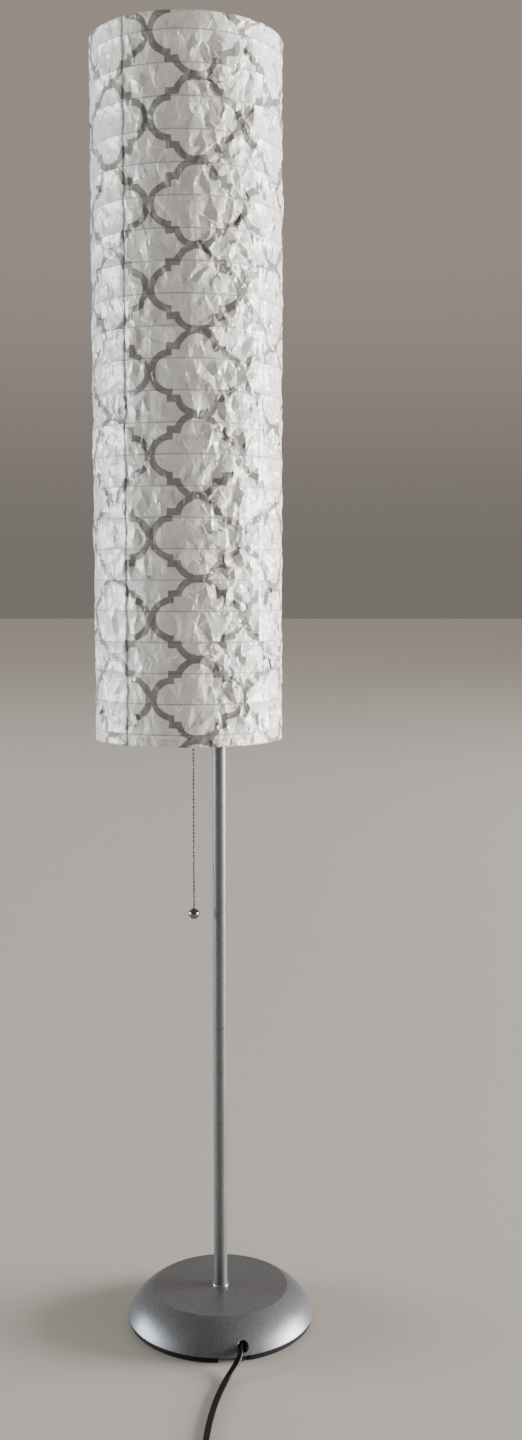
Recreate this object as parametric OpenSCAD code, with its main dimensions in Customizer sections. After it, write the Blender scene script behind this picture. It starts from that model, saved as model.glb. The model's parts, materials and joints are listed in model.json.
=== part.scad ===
// Floor lamp with a tall paper lantern shade on a slim jointed pole and a round weighted base.
// Millimetres. Z points up, the floor is z = 0 and the pole's axis is the Z axis. -Y is the front.
// Everything that fits, seats on or lines up with a neighbour takes its size from these values.

/* [Base] */
// Diameter of the steel cover at its widest, just above its lower edge
base_d = 222.6; // [190:0.2:280]
// Height of the flat top above the floor
base_h = 41.5; // [38:0.5:60]
// Diameter of the flat top
base_flat_d = 160; // [130:1:180]
// Angle of the side where it leaves the flat top, as a share of its average angle
edge_share = 0.58; // [0.3:0.01:0.8]
// How far the side's angle at the rim goes from its average angle towards upright
rim_share = 0.45; // [0.2:0.05:0.9]
// Thickness of the pressed steel cover
cover_wall = 1.2; // [0.8:0.1:2]
// Height of the cover's lower edge above the floor
skirt_z = 7.6; // [6:0.2:10]
// Thickness of the felt under the base
felt_h = 2; // [1:0.5:3]
// How far the black bottom tray stays in from the cover's widest line
tray_inset = 2; // [2:0.1:30]
// Thickness of the tray's floor
tray_floor = 3.2; // [2:0.2:4]
// Thickness of the tray's raised edge
tray_edge = 2; // [1.2:0.2:3]
// Width of the cable notch in the tray and felt, in degrees
notch_angle = 20; // [12:1:30]
// Depth of the cable notch from the tray's edge
notch_depth = 16; // [10:1:24]
// Gap between the cast weight and the cover
weight_gap = 2; // [1:0.5:4]
// Diameter of the hollow in the middle of the weight
weight_hollow_d = 68; // [50:1:80]
// Thickness of the steel plate between the weight and the cover
plate_t = 2.5; // [1.5:0.5:4]
// How far that plate laps over the weight
plate_lap = 6; // [4:1:12]
// Diameter of the bright collar at the foot of the pole
collar_d = 19.8; // [18.5:0.1:24]
// Height of that collar
collar_h = 2.6; // [2:0.2:6]

/* [Pole] */
// Outside diameter of the pole
pole_d = 16; // [14:0.5:20]
// Wall of the pole's tubes
pole_wall = 0.9; // [0.6:0.1:1.2]
// Length of the lower tube
lower_len = 317.5; // [200:0.5:400]
// Length of the middle tube
middle_len = 360; // [240:1:420]
// Length of the top tube
top_len = 174; // [120:1:260]
// Chamfer that shows as a fine groove at each joint
tube_chamfer = 0.6; // [0.2:0.1:0.8]
// Length of the threaded bushing pressed into each tube end
bushing_len = 14; // [10:1:20]
// Outside diameter of the hollow threaded rods
nipple_d = 10; // [9.6:0.1:10.6]
// Bore of the threaded rods, which the cord runs through
nipple_bore = 7.8; // [7.4:0.1:8.2]
// Across the flats of the lamp nut
nut_af = 14; // [13:1:19]
// Thickness of the lamp nut
nut_t = 3.5; // [3:0.5:5]
// Thickness of the lock washer
washer_t = 1.2; // [0.8:0.1:2]

/* [Lamp holder] */
// Outside diameter of the holder's cap
cap_d = 34.4; // [32:0.2:40]
// Height of the holder's cap
cap_h = 18.5; // [16:0.5:24]
// Height of the metal shell above the bottom of the cap
shell_top = 71; // [71:1:80]
// Wall of the cap and shell
shell_wall = 0.6; // [0.4:0.1:0.8]
// Thickness of the cardboard liner
liner_t = 0.9; // [0.6:0.1:1.2]
// Diameter of the moulded switch body
switch_d = 27.6; // [27:0.2:28]
// Height of the moulded switch body
switch_h = 31; // [31:1:36]
// Inside diameter of the threaded shell that takes the bulb
screw_bore = 26.7; // [26.6:0.1:26.9]

/* [Pull chain] */
// Distance of the chain from the pole's axis
chain_reach = 31; // [29:0.5:33]
// Direction of the chain, turned from the left towards the front, in degrees
chain_turn = 15; // [10:1:20]
// Length of the switch lever from its pivot to its rounded tip
lever_len = 22; // [20:0.5:24]
// Tilt of the lever above level at rest, and below it when pulled
lever_tilt = 13; // [8:1:13]
// Diameter of one bead
bead_d = 3.2; // [2.4:0.1:3.4]
// Distance from one bead to the next
bead_pitch = 4.45; // [3.8:0.05:5]
// Number of beads that swing below the lamp holder
bead_count = 86; // [20:1:110]
// Diameter of the ball at the end
ball_d = 12.7; // [8:0.1:16]

/* [Bulb] */
// Diameter of the bulb
bulb_d = 60; // [45:1:62]
// Height of the bulb above the centre contact
bulb_h = 106; // [95:1:112]
// Outside diameter of the bulb's threaded cap
bulb_cap_d = 26.3; // [26:0.1:26.4]
// Height of the bulb's threaded cap
bulb_cap_h = 24; // [22:1:26]

/* [Shade] */
// Outside diameter of the paper shade at its rings
shade_d = 216; // [190:1:260]
// Height of the shade
shade_h = 776; // [500:1:900]
// Height of the shade's lower edge above the floor
shade_z = 705; // [680:1:720]
// Distance of the shade's axis from the pole's axis, to the left
shade_offset = 35; // [34.5:0.5:38]
// Thickness of the paper
paper_t = 0.4; // [0.3:0.1:0.8]
// How far the paper draws in between two ribs
paper_draw = 1.4; // [0.5:0.1:3]
// Number of thin ribs inside the paper
rib_count = 23; // [8:1:30]
// Distance of the first rib below the top edge
first_rib = 19; // [12:1:30]
// Distance of the last rib above the lower edge
last_rib = 13.4; // [12:0.2:30]
// Thickness of the rib wire
rib_wire = 1.4; // [0.8:0.1:2]
// Thickness of the wire of the two end rings and their crossbars
ring_wire = 3; // [2:0.5:4]
// Height of the folded hem at the bottom
bottom_hem_h = 9; // [5:1:12]
// Height of the folded hem at the top
top_hem_h = 5; // [3:1:10]
// Diameter of the upright rod that holds the rings apart
rod_d = 5; // [4:0.5:6]
// Thickness of the arm that carries the rod
arm_t = 2.5; // [2:0.5:4]
// Width of that arm
arm_w = 10; // [8:1:11]

/* [Cord] */
// Diameter of the cord's plain stand-in tube, the width of the flat cord
cord_d = 7; // [5:0.5:7]
// Thickness of the flat cord, which stands on edge in the coil
cord_t = 3.5; // [2.5:0.1:3.5]
// Height of the cord hole's centre above the floor
hole_z = 17; // [15:0.5:20]
// Diameter of the cord hole in the cover
hole_d = 12; // [11:0.5:14]
// Direction of the cord hole, turned from the front towards the right, in degrees
hole_turn = 15.5; // [10:0.5:20]
// Mean radius of the middle turn of the stored coil
coil_r = 38; // [36:1:40]
// Turns side by side in each layer of the coil
coil_columns = 3; // [3:1:3]
// Layers in the coil
coil_layers = 2; // [2:1:3]
// Width of the strap round the coil
tie_w = 12; // [8:1:16]
// Thickness of the strap
tie_t = 0.8; // [0.6:0.1:1]

/* [Hidden] */
$fn = 72;

fit = 0.05;              // clearance between pieces that screw or press together
seat = 0.3;              // clearance between pieces that only sit near each other
run = 0.06;              // clearance of the lever on its pin
through = 1;             // how far a cut runs past the face that it opens

// Base
base_r = base_d / 2;
flat_r = base_flat_d / 2;
rim_lift = 0.8;          // height of the widest line above the cover's lower edge
rim_tuck = 0.6;          // how far the lower edge turns in under the widest line
side_steps = 14;         // straight stretches in the side's curve
rim_z = skirt_z + rim_lift;
side_w = base_r - flat_r;
side_h = base_h - rim_z;
// The side is a smooth curve with one angle at the flat top and a steeper one at the rim.
side_mean = atan(side_h / side_w);
edge_angle = edge_share * side_mean;
rim_angle = side_mean + rim_share * (90 - side_mean);
side_run = (side_h - side_w * tan(rim_angle)) / (tan(edge_angle) - tan(rim_angle));
side_top = [flat_r, base_h];
side_bend = [flat_r + side_run, base_h - side_run * tan(edge_angle)];
side_rim = [base_r, rim_z];
function side_point(t) = (1 - t) * (1 - t) * side_top + 2 * t * (1 - t) * side_bend + t * t * side_rim;
function side_normal(t) = let (d = (1 - t) * (side_bend - side_top) + t * (side_rim - side_bend))
    [-d[1], d[0]] / norm(d);
function side_line(inset) = [for (i = [0 : side_steps])
    let (t = i / side_steps) side_point(t) - inset * side_normal(t)];
function reversed(a) = [for (i = [len(a) - 1 : -1 : 0]) a[i]];

plate_top = base_h - cover_wall;
weight_top = plate_top - plate_t;
floor_z = felt_h + tray_floor;
tray_r = base_r - tray_inset;
weight_r = min(tray_r, base_r - rim_tuck - cover_wall) - tray_edge - seat;
hollow_r = weight_hollow_d / 2;
plate_r = hollow_r + plate_lap;
felt_inset = 2;          // how far the felt stays in from the tray's edge
channel_gap = 3.5;       // room beside the cord in the weight's channel
channel_w = cord_d + 2 * channel_gap;
channel_h = 10;          // height of the channel above the cord's centre
screw_ring = 0.7;        // radius of the tray screws' circle, as a share of the weight's radius
tray_screw_d = 4;
tray_screw_head_d = 8;
tray_screw_head_t = 2;
tray_screw_len = 14;
tray_screw_count = 3;
tray_screw_turn = 15;    // keeps the screws clear of the cord channel

// Pole
pole_r = pole_d / 2;
pole_bore = pole_r - pole_wall;
joint_z = base_h + lower_len;
upper_joint_z = joint_z + middle_len;
pole_top = upper_joint_z + top_len;
nipple_r = nipple_d / 2;
nipple_end = 1.5;        // how far a nipple stops short of the far end of its bushing
bushing_inset = 0.2;     // how far a bushing sits back from the end of its tube
washer_d = 18;
nut_end = 2;             // length of thread that shows below the nut
plate_nipple_z = weight_top - washer_t - nut_t - nut_end;

// Lamp holder
cap_z = pole_top + arm_t;
cap_r = cap_d / 2;
hub_r = 8;
hub_h = 7.5;
cap_floor = 1.2;
cap_rise = 8;            // height of the cap's floor above its foot
cap_floor_z = cap_z + cap_rise;
cap_fall = 3;            // fall of the cap's shoulder from its wall to its hub
shell_r = cap_r - shell_wall - fit;
shell_rise = 11;         // height of the shell's lower edge above the cap's foot
shell_z = cap_z + shell_rise;
shell_end = cap_z + shell_top;
liner_r = shell_r - shell_wall - fit;
liner_z = shell_z + shell_wall;
liner_short = 3;         // how far the liner stops below the shell's top
liner_end = shell_end - liner_short;
switch_r = switch_d / 2;
switch_z = cap_floor_z + cap_floor;
switch_end = switch_z + switch_h;
screw_shell_wall = 0.5;
screw_shell_z = switch_end;
screw_shell_h = 28;
contact_t = 0.6;
contact_rise = 2;
contact_z = switch_end + contact_rise;
set_screw_d = 3;
shell_bead_r = 0.9;      // rolled edge at the shell's top
terminal_r = 2.4;
terminal_rise = 5;       // height of the terminals above the bottom of the switch body
switch_bore_h = 6;       // depth of the cord's bore in the switch body
terminal_t = 0.8;

// Pull switch
lever_r = 1.6;           // radius of the lever's rounded tip
lever_w = 3;
lever_u = chain_reach - lever_len;
pivot_r = 3;
pin_r = 1;
pin_len = 16;
lever_rise = lever_len * sin(lever_tilt);
slot_gap = 0.5;          // room beside the lever in the switch body
lever_slot = lever_w + 2 * slot_gap;
guide_wall = 1.4;
guide_room = 2;          // room beside and beyond the lever in its guide
guide_w = lever_w + 2 * guide_room + 2 * guide_wall;
guide_z = cap_z + cap_h + seat;
guide_drop = 4;          // lever's tip above the guide's bottom when it is pulled
lever_z = guide_z + guide_drop + lever_r + lever_rise;
guide_head = 2.5;        // guide's top above the lever's tip at rest
guide_end = lever_z + lever_rise + lever_r + guide_head;
guide_out = chain_reach + lever_r + guide_room + guide_wall;
bell_h = 6;
bell_r = 4.4;
bell_bore = 2.9;
bell_wall = 0.8;         // wall of the bell's neck
bell_lip = 1;            // height of the bell's straight lip
bell_flare = 3;          // height at which the bell's flare ends
clasp_d = 4.2;
clasp_h = 4;
clasp_gap = 0.4;         // from the clasp to the lever's tip
clasp_top = lever_z + lever_rise - lever_r - clasp_gap;
link_d = 1;              // thickness of the wire between the beads
swing_drop = 4;
swing_z = pole_top - swing_drop; // the chain swings from here, just below the arm
top_beads = floor((clasp_top - clasp_h - swing_z) / bead_pitch);
top_bead_pitch = (clasp_top - clasp_h - swing_z) / top_beads;
ball_z = swing_z - (bead_count + 0.5) * bead_pitch - ball_d / 2;
ball_neck_h = 1.4;       // height of the ball's neck above the ball
ball_neck_r = 1.3;

// Bulb
bulb_r = bulb_d / 2;
bulb_cap_r = bulb_cap_d / 2;
bulb_z = contact_z + contact_t;
bulb_tip_h = 3;
bulb_tip_r = 5;
neck_inset = 0.4;        // how far the glass neck is slimmer than the cap
neck_r = bulb_cap_r - neck_inset;
bulb_bevel = 1;          // bevel of the tip and of the cap's lower edge
shoulder_drop = 0.75;    // shoulder below the globe's centre, as a share of its radius
shoulder_share = 0.66;   // the shoulder's radius, as a share of the globe's
globe_z = bulb_z + bulb_h - bulb_r;

// Shade
shade_r = shade_d / 2;
shade_top = shade_z + shade_h;
rod_r = rod_d / 2;
ring_r = ring_wire / 2;
rib_r = rib_wire / 2;
rib_pitch = (shade_h - first_rib - last_rib) / (rib_count - 1);
ring_line = shade_r - paper_t - fit - ring_r;
rib_line = shade_r - paper_t - fit - rib_r;
top_ring_z = shade_top - ring_r;
bottom_ring_z = shade_z + ring_r;
hem_t = 0.3;
eye_r = rod_r + fit + ring_wire;
collar_t = 4;
rod_collar_wall = 1.8;
rod_collar_r = rod_r + rod_collar_wall;
rod_cap_t = 5;
rod_cap_wall = 1.6;
rod_cap_r = rod_r + rod_cap_wall;
rod_cap_round = 1.5;     // bevel of the rod cap's end
rod_thread = 3;          // length of the rod's end inside its cap
boss_wall = 3.4;
boss_r = rod_r + boss_wall;
boss_overlap = 1;        // how far the arm reaches round the holder's hub
thumb_r = 4;             // radius of the thumb screw's head
thumb_t = 3;             // thickness of that head
thumb_out = 3;           // screw that shows between the boss and the head
bar_slim = 0.95;         // crossbar's thickness as a share of the ring's
boss_h = 10;
paper_steps = 4;         // straight stretches in the paper's curve between two ribs
// Depths below the top edge at which a ring or rib holds the paper out to its full radius
held = concat([ring_wire], [for (i = [0 : rib_count - 1]) first_rib + i * rib_pitch], [shade_h - ring_wire]);
function gap_draw(i) = paper_draw * min(1, (held[i + 1] - held[i]) / rib_pitch);
function paper_line(r) = concat([[r, shade_top]],
    [for (i = [0 : rib_count]) for (k = [0 : paper_steps - 1])
        [r - gap_draw(i) * sin(180 * k / paper_steps),
         shade_top - held[i] - (held[i + 1] - held[i]) * k / paper_steps]],
    [[r, shade_z + ring_wire], [r, shade_z]]);

// Cord. It leaves the base at the front, crosses the floor to a stored coil, and ends in a plug.
cord_r = cord_d / 2;
inner_bend = 14;         // radius of the cord's bend below the pole
inner_end = 92;          // distance from the pole's axis at which the free cord takes over
coil_x = -50;
coil_y = -340;
coil_in = coil_r - coil_columns * cord_t / 2;
coil_out = coil_r + coil_columns * cord_t / 2;
coil_h = coil_layers * cord_d;
cord_route = [[24.6, -88.7, 17], [26.2, -94.4, 17], [27.3, -99.9, 17], [27.7, -105.7, 16.5],
    [27.1, -111.7, 15.4], [25.4, -117.5, 13.6], [22.6, -123.4, 11.1], [18.9, -130.4, 8.3], [14.4, -139.2, 5.7],
    [10.1, -149.7, 4.1], [6.3, -162.1, 3.5], [2.9, -175.2, 3.5], [0.1, -189, 3.5], [-2.2, -203, 3.5],
    [-4.3, -218, 3.5], [-6, -233, 3.5], [-7.3, -249, 3.5], [-8.2, -266, 3.5], [-8.5, -284, 3.5],
    [-8.5, -301, 3.5], [-8.5, -318, 3.5]];
tail_route = [[-8.5, -362, 9.6], [-9.5, -375, 6.6], [-13, -384.5, 4.6], [-20, -393.5, 3.7],
    [-30, -400, 3.9], [-41, -402.8, 6.2], [-48, -403, 8.5], [-54.7, -403, 8.5]];
cord_sides = 10;
plug_x = -55;
plug_y = -403;
plug_z = 8.5;
plug_len = 36;
plug_w = 23;
plug_t = 17;
snout_len = 12;
blade_gap = 12.7;
blade_len = 17.5;
blade_t = 1.5;
blade_w = 6.3;
wide_blade_w = 7.9;
blade_root = 6;
blade_hole_d = 3;
blade_hole_end = 2.5;    // metal left between the blade's hole and its end
snout_wall = 1.5;        // wall of the plug's snout where the cord enters
snout_flare = 3;         // wall of the snout where it meets the body
grip_r = 7;              // radius of the hollows at the plug's sides
grip_out = 5;            // their centres beyond the plug's sides
grip_share = 0.42;       // their place along the body

// Colours
silver_paint = [0.58, 0.6, 0.63];
bright_metal = [0.8, 0.8, 0.8];
steel = [0.62, 0.62, 0.62];
brass_metal = [0.8, 0.65, 0.35];
black_plastic = [0.06, 0.06, 0.06];
paper_white = [0.92, 0.91, 0.88];

// Shared shapes

// A round bar with a hole through it
module ring_bar(z0, h, r_out, r_in) {
    translate([0, 0, z0]) difference() {
        cylinder(h = h, r = r_out);
        translate([0, 0, -through]) cylinder(h = h + 2 * through, r = r_in);
    }
}
// One tube of the pole, chamfered outside at both ends
module pole_tube(z0, h) {
    translate([0, 0, z0]) rotate_extrude() polygon([
        [pole_bore, 0], [pole_r - tube_chamfer, 0], [pole_r, tube_chamfer],
        [pole_r, h - tube_chamfer], [pole_r - tube_chamfer, h], [pole_bore, h]]);
}
// A threaded bushing pressed into a tube end
module bushing(z0) {
    ring_bar(z0, bushing_len, pole_bore - fit, nipple_r + fit);
}
// The two bushings that face each other at a joint between tubes
module joint_bushings(z) {
    bushing(z - bushing_len - bushing_inset);
    bushing(z + bushing_inset);
}
// A hollow threaded rod
module nipple(z0, h) {
    ring_bar(z0, h, nipple_r, nipple_bore / 2);
}
// A wire ring lying flat
module wire_ring(line, z, wire_r, sides = 16) {
    translate([0, 0, z]) rotate_extrude($fn = 120) translate([line, 0]) circle(r = wire_r, $fn = sides);
}
// Puts its children on the shade's axis
module on_shade() {
    translate([-shade_offset, 0, 0]) children();
}
// Turns its children, drawn towards -X, to the chain's side of the holder
module on_chain_side() {
    rotate([0, 0, chain_turn]) children();
}
// Turns its children, drawn towards -Y, to the cord hole's side of the base
module on_hole_side() {
    rotate([0, 0, hole_turn]) children();
}
// Repeats its children at the tray screws
module at_tray_screws() {
    for (i = [0 : tray_screw_count - 1])
        rotate([0, 0, tray_screw_turn + i * 360 / tray_screw_count])
            translate([weight_r * screw_ring, 0, 0]) children();
}
// The notch that lets the cord run under the base's edge
module cable_notch(r, z0, h) {
    translate([0, 0, z0 - through]) rotate([0, 0, -90]) rotate_extrude(angle = notch_angle - 1)
        translate([r - notch_depth, 0]) square([notch_depth + felt_inset + through, h + 2 * through]);
}

// Cord sweep: a ring of points round each point of the route, joined into one closed skin
function route_way(p, i) = let (a = p[max(i - 1, 0)], b = p[min(i + 1, len(p) - 1)]) (b - a) / norm(b - a);
function route_side(d) = let (s = cross(d, [0, 0, 1])) s / norm(s);
function route_ring(p, i, r, n) = let (d = route_way(p, i), s = route_side(d), t = cross(s, d))
    [for (k = [0 : n - 1]) p[i] + r * (cos(360 * k / n) * s + sin(360 * k / n) * t)];
module swept(p, r, n) {
    points = [for (i = [0 : len(p) - 1]) each route_ring(p, i, r, n)];
    last = (len(p) - 1) * n;
    sides = [for (i = [0 : len(p) - 2]) for (k = [0 : n - 1]) each
        let (a = i * n + k, b = i * n + (k + 1) % n) [[a, b, b + n], [a, b + n, a + n]]];
    polyhedron(points, concat([[for (k = [n - 1 : -1 : 0]) k]], sides, [[for (k = [0 : n - 1]) last + k]]));
}

// Base

module felt_pad() {
    color([0.08, 0.08, 0.08]) difference() {
        cylinder(h = felt_h, r = tray_r - felt_inset);
        cable_notch(tray_r - felt_inset, 0, felt_h);
    }
}
module bottom_tray() {
    color(black_plastic) difference() {
        union() {
            translate([0, 0, felt_h]) cylinder(h = tray_floor, r = tray_r);
            ring_bar(felt_h, skirt_z - felt_h, tray_r, tray_r - tray_edge);
        }
        cable_notch(tray_r, felt_h, skirt_z);
        at_tray_screws() {
            translate([0, 0, felt_h - through])
                cylinder(h = tray_screw_head_t + through, r = tray_screw_head_d / 2 + seat);
            translate([0, 0, felt_h]) cylinder(h = tray_floor + through, r = tray_screw_d / 2 + seat);
        }
    }
}
module tray_screws() {
    color(steel) at_tray_screws() {
        translate([0, 0, felt_h]) cylinder(h = tray_screw_head_t, r = tray_screw_head_d / 2);
        translate([0, 0, felt_h]) cylinder(h = tray_screw_len, r = tray_screw_d / 2);
    }
}
module base_weight() {
    outer = [for (p = side_line(cover_wall + weight_gap)) [min(p[0], weight_r), min(p[1], weight_top)]];
    color([0.55, 0.54, 0.52]) difference() {
        rotate_extrude() polygon(concat([[hollow_r, weight_top]], outer,
            [[weight_r, floor_z], [hollow_r, floor_z]]));
        on_hole_side() translate([-channel_w / 2, -base_r, floor_z - through])
            cube([channel_w, base_r, hole_z + channel_h - floor_z + through]);
        at_tray_screws() translate([0, 0, floor_z - through])
            cylinder(h = felt_h + tray_screw_len - floor_z + 2 * through, r = tray_screw_d / 2 + fit);
    }
}
module base_cover() {
    inner_rim = base_r - rim_tuck - cover_wall;
    color(silver_paint) difference() {
        rotate_extrude($fn = 144) polygon(concat([[nipple_r + fit, base_h]], side_line(0),
            [[base_r - rim_tuck, skirt_z], [inner_rim, skirt_z]],
            [for (p = reversed(side_line(cover_wall))) [min(p[0], inner_rim), min(p[1], plate_top)]],
            [[nipple_r + fit, plate_top]]));
        on_hole_side() translate([0, 0, hole_z]) rotate([90, 0, 0])
            translate([0, 0, flat_r]) cylinder(h = base_r, r = hole_d / 2);
    }
}
module cover_plate() {
    color(steel) ring_bar(weight_top, plate_t, plate_r, nipple_r + fit);
}
module base_nipple() {
    color(steel) nipple(plate_nipple_z, base_h + bushing_len - nipple_end - plate_nipple_z);
}
module base_washer() {
    color(steel) ring_bar(weight_top - washer_t, washer_t, washer_d / 2, nipple_r + fit);
}
module base_nut() {
    color(steel) translate([0, 0, weight_top - washer_t - nut_t]) difference() {
        cylinder(h = nut_t, r = nut_af / 2 / cos(30), $fn = 6);
        translate([0, 0, -through]) cylinder(h = nut_t + 2 * through, r = nipple_r + fit);
    }
}
module foot_collar() {
    round_r = collar_d / 2 - pole_r - fit;
    color(bright_metal) rotate_extrude() intersection() {
        translate([pole_r + fit, base_h]) square([round_r, collar_h]);
        translate([pole_r + fit, base_h]) circle(r = max(collar_h, round_r), $fn = 48);
    }
}
module cord_stop() {
    stop_w = channel_w - 2 * seat;
    stop_len = 12;
    stop_wall = 2;
    stop_h = hole_z + cord_r + stop_wall - floor_z;
    color(black_plastic) on_hole_side() difference() {
        translate([-stop_w / 2, -inner_end + seat, floor_z]) cube([stop_w, stop_len, stop_h]);
        translate([0, through, hole_z]) rotate([90, 0, 0]) cylinder(h = inner_end + through, r = cord_r + fit);
    }
}

// Pole

module foot_bushing() { color(steel) bushing(base_h); }
module lower_pole() { color(silver_paint) pole_tube(base_h, lower_len); }
module lower_joint_bushings() { color(steel) joint_bushings(joint_z); }
module lower_joint_nipple() {
    color(steel) nipple(joint_z - bushing_len + nipple_end, 2 * (bushing_len - nipple_end));
}
module middle_pole() { color(silver_paint) pole_tube(joint_z, middle_len); }
module upper_joint_bushings() { color(steel) joint_bushings(upper_joint_z); }
module upper_joint_nipple() {
    color(steel) nipple(upper_joint_z - bushing_len + nipple_end, 2 * (bushing_len - nipple_end));
}
module top_pole() { color(silver_paint) pole_tube(upper_joint_z, top_len); }
module top_bushing() { color(steel) bushing(pole_top - bushing_len); }
module holder_nipple() {
    bottom = pole_top - bushing_len + nipple_end;
    color(steel) nipple(bottom, cap_z + hub_h - bottom);
}

// Lamp holder

module holder_cap() {
    color(brass_metal) difference() {
        rotate_extrude() polygon([
            [nipple_r + fit, cap_z], [hub_r, cap_z], [hub_r, cap_floor_z - cap_fall],
            [cap_r, cap_floor_z], [cap_r, cap_z + cap_h], [cap_r - shell_wall, cap_z + cap_h],
            [cap_r - shell_wall, switch_z], [nipple_r + fit, switch_z]]);
        translate([0, 0, cap_z + hub_h / 2]) rotate([0, 90, 0])
            cylinder(h = hub_r + through, r = set_screw_d / 2 + fit, $fn = 32);
    }
}
module cap_screw() {
    color(steel) translate([nipple_r + fit, 0, cap_z + hub_h / 2]) rotate([0, 90, 0]) {
        cylinder(h = hub_r - nipple_r + 1, r = set_screw_d / 2, $fn = 32);
    }
}
module switch_body() {
    color(black_plastic) difference() {
        union() {
            translate([0, 0, switch_z]) cylinder(h = switch_h, r = switch_r);
            translate([0, 0, switch_end]) cylinder(h = contact_rise, r = bulb_tip_r + bulb_bevel);
        }
        on_chain_side() {
            translate([-cap_r, -lever_slot / 2, guide_z + guide_wall])
                cube([cap_r - lever_u + pivot_r + slot_gap, lever_slot, guide_end - guide_z - 2 * guide_wall]);
            translate([-lever_u, pin_len / 2, lever_z]) rotate([90, 0, 0])
                cylinder(h = pin_len, r = pin_r, $fn = 32);
        }
        translate([0, 0, switch_z - through])
            cylinder(h = switch_bore_h + through, r = cord_r + fit);
    }
}
module holder_shell() {
    color(brass_metal) difference() {
        union() {
            ring_bar(shell_z, shell_end - shell_z, shell_r, shell_r - shell_wall);
            wire_ring(shell_r - shell_wall / 2, shell_end, shell_bead_r);
        }
        guide_window();
    }
}
module guide_window() {
    on_chain_side() translate([-cap_r - through, -guide_w / 2 - fit, guide_z - fit])
        cube([cap_r - lever_u + through, guide_w + 2 * fit, guide_end - guide_z + 2 * fit]);
}
module holder_liner() {
    color([0.75, 0.62, 0.45]) difference() {
        ring_bar(liner_z, liner_end - liner_z, liner_r, liner_r - liner_t);
        guide_window();
    }
}
module screw_shell() {
    r = screw_bore / 2;
    color(brass_metal) {
        ring_bar(screw_shell_z, screw_shell_h, r + screw_shell_wall, r);
    }
}
module centre_contact() {
    color(brass_metal) translate([0, 0, contact_z]) cylinder(h = contact_t, r = bulb_tip_r - bulb_bevel);
}
module terminal_screws() {
    color(brass_metal) for (side = [-1, 1])
        rotate([0, 0, chain_turn]) translate([0, side * switch_r, switch_z + terminal_rise])
            rotate([side * -90, 0, 0])
                cylinder(h = terminal_t, r = terminal_r, $fn = 32);
}

// Pull switch and chain

module chain_guide() {
    r = bell_bore;
    color(brass_metal) on_chain_side() difference() {
        union() {
            translate([-guide_out, -guide_w / 2, guide_z])
                cube([guide_out - switch_r - fit, guide_w, guide_end - guide_z]);
            translate([-chain_reach, 0, guide_z - bell_h]) rotate_extrude($fn = 48)
                polygon([[r, 0], [bell_r, 0], [bell_r, bell_lip], [r + bell_wall, bell_flare],
                    [r + bell_wall, bell_h], [r, bell_h]]);
        }
        translate([-guide_out + guide_wall, -guide_w / 2 + guide_wall, guide_z + guide_wall])
            cube([guide_out, guide_w - 2 * guide_wall, guide_end - guide_z - 2 * guide_wall]);
        translate([-chain_reach, 0, guide_z - through]) cylinder(h = 2 * guide_wall + through, r = r, $fn = 48);
    }
}
module pull_lever() {
    color(brass_metal) on_chain_side() translate([-lever_u, 0, lever_z]) rotate([90, 0, 0])
        translate([0, 0, -lever_w / 2]) difference() {
            linear_extrude(lever_w) union() {
                circle(r = pivot_r, $fn = 48);
                rotate(-lever_tilt) {
                    translate([-lever_len, -lever_r]) square([lever_len, 2 * lever_r]);
                    translate([-lever_len, 0]) circle(r = lever_r, $fn = 32);
                }
            }
            translate([0, 0, -through]) cylinder(h = lever_w + 2 * through, r = pin_r + run, $fn = 32);
        }
}
module lever_pin() {
    color(steel) on_chain_side() translate([-lever_u, pin_len / 2, lever_z]) rotate([90, 0, 0])
        cylinder(h = pin_len, r = pin_r, $fn = 32);
}
module chain_top() {
    color(bright_metal) on_chain_side() translate([-chain_reach, 0, 0]) {
        translate([0, 0, clasp_top - clasp_h]) cylinder(h = clasp_h, r = clasp_d / 2, $fn = 32);
        translate([0, 0, swing_z + seat])
            cylinder(h = clasp_top - clasp_h / 2 - swing_z - seat, r = link_d / 2, $fn = 16);
        for (i = [0 : top_beads - 1])
            translate([0, 0, swing_z + (i + 0.5) * top_bead_pitch]) sphere(r = bead_d / 2, $fn = 24);
    }
}
module pull_chain() {
    color(bright_metal) on_chain_side() translate([-chain_reach, 0, 0]) {
        translate([0, 0, swing_z - bead_count * bead_pitch])
            cylinder(h = bead_count * bead_pitch, r = link_d / 2, $fn = 16);
        for (i = [0 : bead_count - 1])
            translate([0, 0, swing_z - (i + 0.5) * bead_pitch]) sphere(r = bead_d / 2, $fn = 24);
    }
}
module chain_ball() {
    color(bright_metal) on_chain_side() translate([-chain_reach, 0, ball_z]) {
        sphere(r = ball_d / 2);
        cylinder(h = ball_d / 2 + ball_neck_h, r = ball_neck_r, $fn = 24);
    }
}

// Bulb

module bulb_cap() {
    color(bright_metal) translate([0, 0, bulb_z]) rotate_extrude() polygon([
        [0, 0], [bulb_tip_r - bulb_bevel, 0], [bulb_tip_r, bulb_bevel],
        [bulb_tip_r + bulb_bevel, bulb_tip_h], [bulb_cap_r - bulb_bevel, bulb_tip_h + bulb_bevel],
        [bulb_cap_r, bulb_tip_h + 2 * bulb_bevel],
        [bulb_cap_r, bulb_tip_h + bulb_cap_h], [0, bulb_tip_h + bulb_cap_h]]);
}
module bulb_glass() {
    base_z = bulb_z + bulb_tip_h + bulb_cap_h;
    shoulder_z = globe_z - bulb_r * shoulder_drop;
    shoulder_r = bulb_r * shoulder_share;
    color([0.95, 0.95, 0.92]) union() {
        translate([0, 0, base_z]) cylinder(h = shoulder_z - base_z, r1 = neck_r, r2 = shoulder_r);
        translate([0, 0, globe_z]) sphere(r = bulb_r);
    }
}

// Shade

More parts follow.
